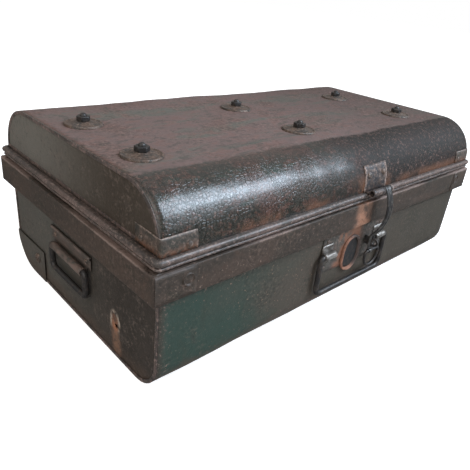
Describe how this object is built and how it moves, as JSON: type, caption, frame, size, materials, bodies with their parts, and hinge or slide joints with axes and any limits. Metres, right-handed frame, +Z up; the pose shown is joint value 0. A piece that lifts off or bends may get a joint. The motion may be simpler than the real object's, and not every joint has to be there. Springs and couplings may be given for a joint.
{
  "type": "tool trunk",
  "caption": "Rectangular sheet-metal tool trunk with a rounded hinged lid, a belt at the joint, bail handles, a hasp and a lift-out tray.",
  "frame": {"origin": "middle of the flat bottom, on the surface that the trunk stands on", "axes": "+X along the length to the right, +Y to the back, +Z up; the front with the hasp looks along -Y"},
  "size_m": [0.7016, 0.4371, 0.2705],
  "materials": {
    "body_paint": "dark green enamel, worn",
    "end_paint": "brown-green enamel, worn",
    "seam_paint": "brown enamel, worn",
    "belt_paint": "dark brown enamel, worn",
    "lid_varnish": "crackled dark brown varnish",
    "bead_paint": "brown enamel worn through on its ridges",
    "rusty_steel": "painted steel, rusted",
    "worn_steel": "bare steel, dull",
    "black_iron": "blackened iron, semi-matt",
    "tray_paint": "grey-green enamel, scratched",
    "tray_steel": "painted steel, worn"
  },
  "bodies": {
    "trunk": {"body_shell": "body_paint", "body_left_end": "end_paint", "body_right_end": "end_paint", "body_end_seams": "seam_paint", "belt": "belt_paint", "belt_corner_plates": "belt_paint", "handle_plate": "rusty_steel", "handle_plate_rivets": "rusty_steel", "handle_clips": "worn_steel", "lock_cup": "rusty_steel", "padlock_staple": "black_iron", "left_grip_strap": "rusty_steel", "right_grip_strap": "rusty_steel", "grip_strap_rivets": "rusty_steel", "corner_patches": "seam_paint", "patch_bolts": "seam_paint", "hinge_body_leaves": "belt_paint", "hinge_pins": "worn_steel", "hinge_rivets": "worn_steel", "tray_ledges": "tray_steel"},
    "lid": {"lid_shell": "lid_varnish", "lid_left_end": "end_paint", "lid_right_end": "end_paint", "lid_end_seams": "seam_paint", "lid_flange": "bead_paint", "lid_bead": "bead_paint", "lid_corner_plates": "rusty_steel", "corner_rivets": "rusty_steel", "hinge_lid_leaves": "belt_paint", "lid_hinge_rivets": "worn_steel", "stud_washers": "worn_steel", "stud_nuts": "black_iron", "stud_bolts": "black_iron", "hasp_plate": "rusty_steel", "hasp_rivets": "rusty_steel", "hasp_pin": "worn_steel"},
    "hasp": {"hasp_strap": "black_iron"},
    "ring": {"pull_ring": "black_iron"},
    "front_bail": {"front_handle": "black_iron"},
    "left_bail": {"left_grip": "black_iron"},
    "right_bail": {"right_grip": "black_iron"},
    "tray": {"tray_pan": "tray_paint", "tray_left_end": "tray_paint", "tray_right_end": "tray_paint", "tray_rim": "tray_paint", "tray_dividers": "tray_paint", "tray_clips": "tray_steel"},
    "tray_bail_left": {"tray_left_bail": "tray_steel"},
    "tray_bail_right": {"tray_right_bail": "tray_steel"}
  },
  "joints": [
    {"name": "lid_hinge", "type": "hinge", "parent": "trunk", "child": "lid", "pos_m": [0, 0.2086, 0.1734], "axis": [-1, 0, 0], "range_deg": [0, 105]},
    {"name": "hasp_hinge", "type": "hinge", "parent": "lid", "child": "hasp", "pos_m": [0.0485, -0.21, 0.19], "axis": [-1, 0, 0], "range_deg": [0, 110]},
    {"name": "ring_swing", "type": "hinge", "parent": "hasp", "child": "ring", "pos_m": [0.0465, -0.2071, 0.086], "axis": [-1, 0, 0], "range_deg": [0, 90]},
    {"name": "front_handle_swing", "type": "hinge", "parent": "trunk", "child": "front_bail", "pos_m": [0.015, -0.20148, 0.104], "axis": [-1, 0, 0], "range_deg": [0, 130]},
    {"name": "left_grip_swing", "type": "hinge", "parent": "trunk", "child": "left_bail", "pos_m": [-0.34328, 0.0055, 0.0915], "axis": [0, 1, 0], "range_deg": [0, 110]},
    {"name": "right_grip_swing", "type": "hinge", "parent": "trunk", "child": "right_bail", "pos_m": [0.34328, 0.0055, 0.0915], "axis": [0, -1, 0], "range_deg": [0, 110]},
    {"name": "tray_lift", "type": "slide", "parent": "trunk", "child": "tray", "axis": [0, 0, 1], "range_m": [0, 0.03]},
    {"name": "tray_left_bail_swing", "type": "hinge", "parent": "tray", "child": "tray_bail_left", "pos_m": [-0.31992, 0, 0.155], "axis": [0, -1, 0], "range_deg": [0, 170]},
    {"name": "tray_right_bail_swing", "type": "hinge", "parent": "tray", "child": "tray_bail_right", "pos_m": [0.31992, 0, 0.155], "axis": [0, 1, 0], "range_deg": [0, 170]}
  ]
}
